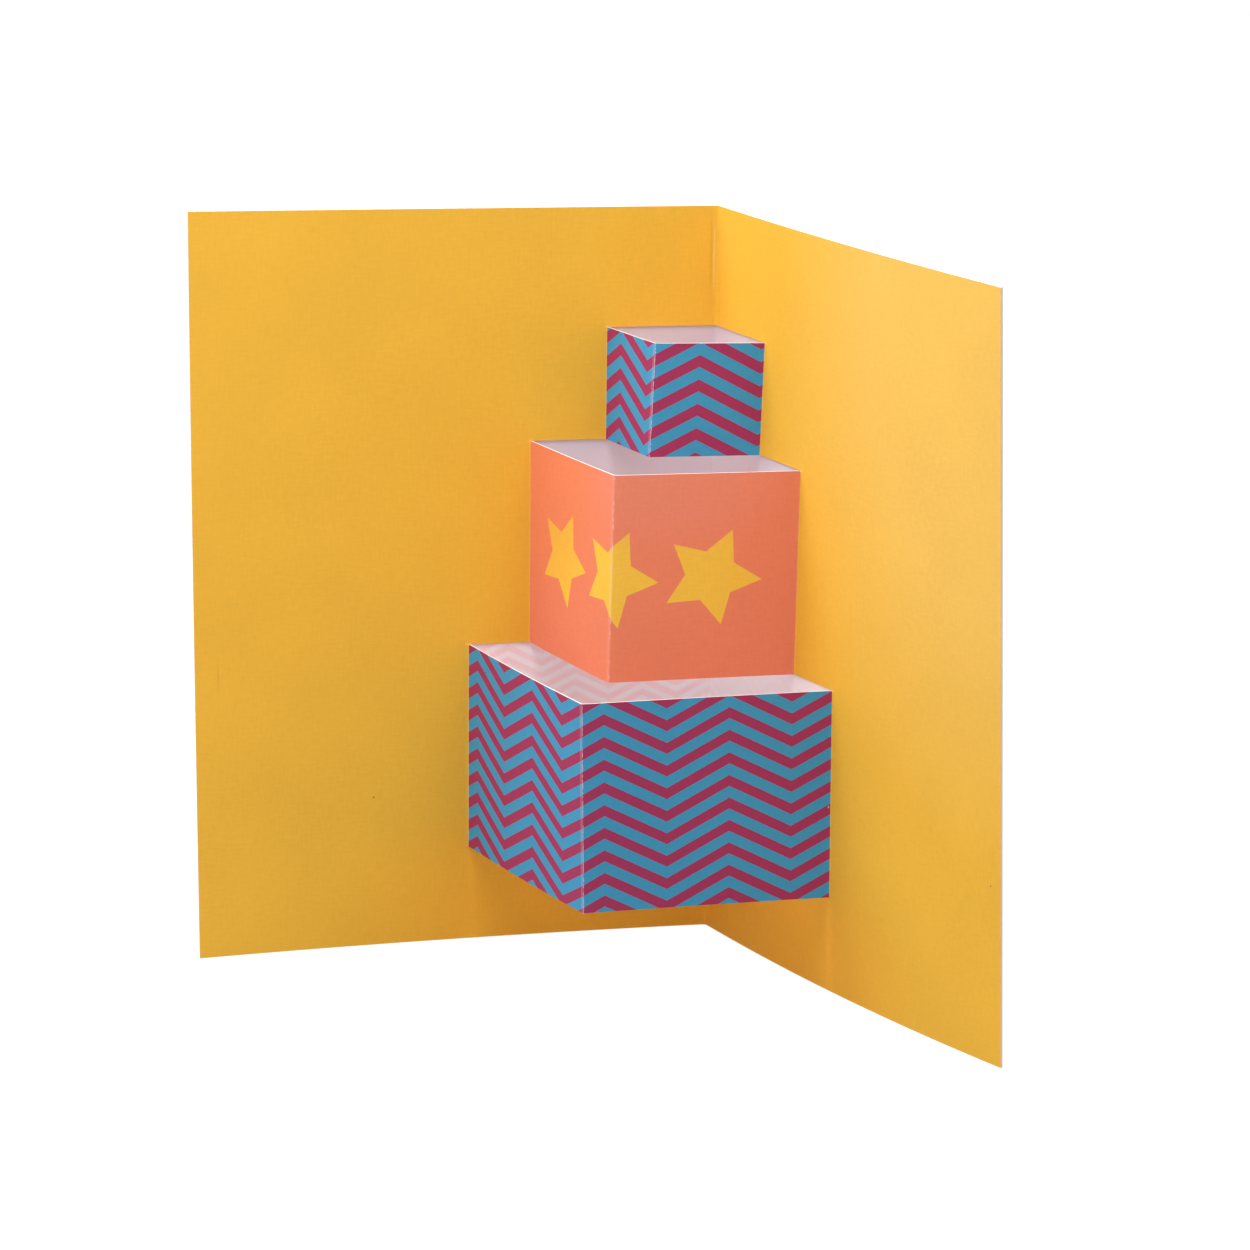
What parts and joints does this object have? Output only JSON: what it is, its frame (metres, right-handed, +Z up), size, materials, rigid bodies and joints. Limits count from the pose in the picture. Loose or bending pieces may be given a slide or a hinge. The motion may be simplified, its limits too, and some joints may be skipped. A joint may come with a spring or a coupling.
{
  "type": "pop up card",
  "caption": "Folded greeting card that stands open on its lower edges, with stepped gift boxes cut and folded forward from its printed inner sheet.",
  "frame": {"origin": "middle of the open card's footprint, at table height", "axes": "+Z up along the spine fold, +X across the open card to the viewer's right, -Y towards the viewer, the way the boxes stand out"},
  "size_m": [0.2459, 0.1008, 0.21],
  "materials": {
    "printed_card": "matte printed card, yellow ground with patterned boxes",
    "cover_card": "matte white card"
  },
  "bodies": {
    "root": {"pop_up_sheet": "printed_card", "outer_cover": "cover_card"}
  },
  "joints": []
}
